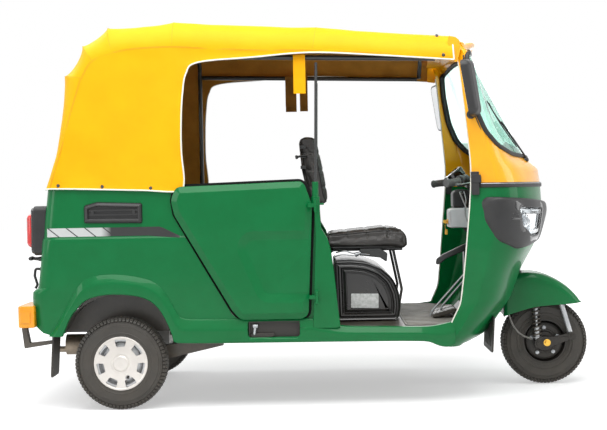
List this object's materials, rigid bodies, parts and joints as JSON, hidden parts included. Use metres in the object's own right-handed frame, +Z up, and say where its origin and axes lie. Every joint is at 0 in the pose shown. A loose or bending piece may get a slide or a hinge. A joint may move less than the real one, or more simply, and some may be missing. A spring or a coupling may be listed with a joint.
{
  "type": "auto rickshaw",
  "caption": "Passenger auto rickshaw with a fabric hood, one side door, a rear hatch, a steered front wheel and free-turning wheels.",
  "frame": {"origin": "on the floor, midway between the bumper's back and the front tyre's front, on the centreline", "axes": "+X forward, +Y to the vehicle's left, +Z up"},
  "size_m": [2.65, 1.52, 1.755],
  "materials": {
    "green_paint": "gloss",
    "yellow_paint": "gloss",
    "black_paint": "satin",
    "silver_paint": "satin",
    "black_plastic": "matte",
    "gloss_black_plastic": "gloss",
    "orange_plastic": "gloss",
    "red_lens": "gloss",
    "clear_lens": "gloss",
    "clear_glass": "gloss",
    "yellow_fabric": "satin",
    "black_vinyl": "satin",
    "tyre": "matte",
    "rubber": "matte",
    "steel": "satin",
    "engine_metal": "matte"
  },
  "bodies": {
    "body": {"bumper_ends": "orange_plastic", "chassis_frame": "black_paint", "column_cover": "black_plastic", "door_pillars": "green_paint", "driver_backrest": "black_vinyl", "driver_seat": "black_vinyl", "driver_seat_rails": "black_paint", "engine": "engine_metal", "floor": "black_paint", "foot_and_hand_controls": "black_paint", "front_apron": "green_paint", "headlamp_housings": "gloss_black_plastic", "headlamp_lenses": "clear_lens", "hood": "yellow_fabric", "hood_hoops": "black_paint", "hood_rails": "black_paint", "hood_straps": "yellow_fabric", "mirrors": "black_plastic", "mudflaps": "rubber", "partition": "green_paint", "passenger_backrest": "black_vinyl", "passenger_seat": "black_vinyl", "pillar_rods": "black_paint", "rear_bumper": "black_paint", "rear_panel": "green_paint", "rear_quarters": "green_paint", "rear_suspension": "black_paint", "rear_window": "clear_glass", "seat_base": "black_paint", "side_vents": "black_plastic", "silencer": "steel", "sills": "green_paint", "steering_head": "black_paint", "tail_lamps": "red_lens", "tank_box": "black_plastic", "wheel_wells": "black_paint", "windscreen": "clear_glass", "windscreen_frame": "yellow_paint", "wiper": "black_plastic"},
    "steering": {"fork": "black_paint", "trailing_links": "black_paint", "front_springs": "black_paint", "brake_hose": "rubber", "front_mudguard": "green_paint", "handlebar": "black_paint", "handlebar_grips": "rubber", "instrument_binnacle": "black_plastic"},
    "front_wheel": {"front_tyre": "tyre", "front_rim": "black_paint"},
    "rear_wheel_right": {"rear_right_tyre": "tyre", "rear_right_rim": "silver_paint", "hubcap_right": "silver_paint"},
    "rear_wheel_left": {"rear_left_tyre": "tyre", "rear_left_rim": "silver_paint", "hubcap_left": "silver_paint"},
    "door_right": {"door_right": "green_paint"},
    "rear_hatch": {"rear_hatch": "green_paint", "hatch_latches": "black_plastic"}
  },
  "joints": [
    {"name": "steer", "type": "hinge", "parent": "body", "child": "steering", "pos_m": [0.93617, 0, 0.63441], "axis": [-0.4226, 0, 0.9063], "range_deg": [-40, 40]},
    {"name": "front_wheel_spin", "type": "hinge", "parent": "steering", "child": "front_wheel", "pos_m": [1.117, 0, 0.208], "axis": [0, 1, 0], "continuous": true},
    {"name": "rear_wheel_right_spin", "type": "hinge", "parent": "body", "child": "rear_wheel_right", "pos_m": [-0.868, -0.575, 0.208], "axis": [0, 1, 0], "continuous": true},
    {"name": "rear_wheel_left_spin", "type": "hinge", "parent": "body", "child": "rear_wheel_left", "pos_m": [-0.868, 0.575, 0.208], "axis": [0, 1, 0], "continuous": true},
    {"name": "door_swing", "type": "hinge", "parent": "body", "child": "door_right", "pos_m": [0.012, -0.664, 0.7], "axis": [0, 0, 1], "range_deg": [0, 75]},
    {"name": "hatch_lift", "type": "hinge", "parent": "body", "child": "rear_hatch", "pos_m": [-1.236, 0, 0.934], "axis": [0, 1, 0], "range_deg": [0, 80]}
  ]
}
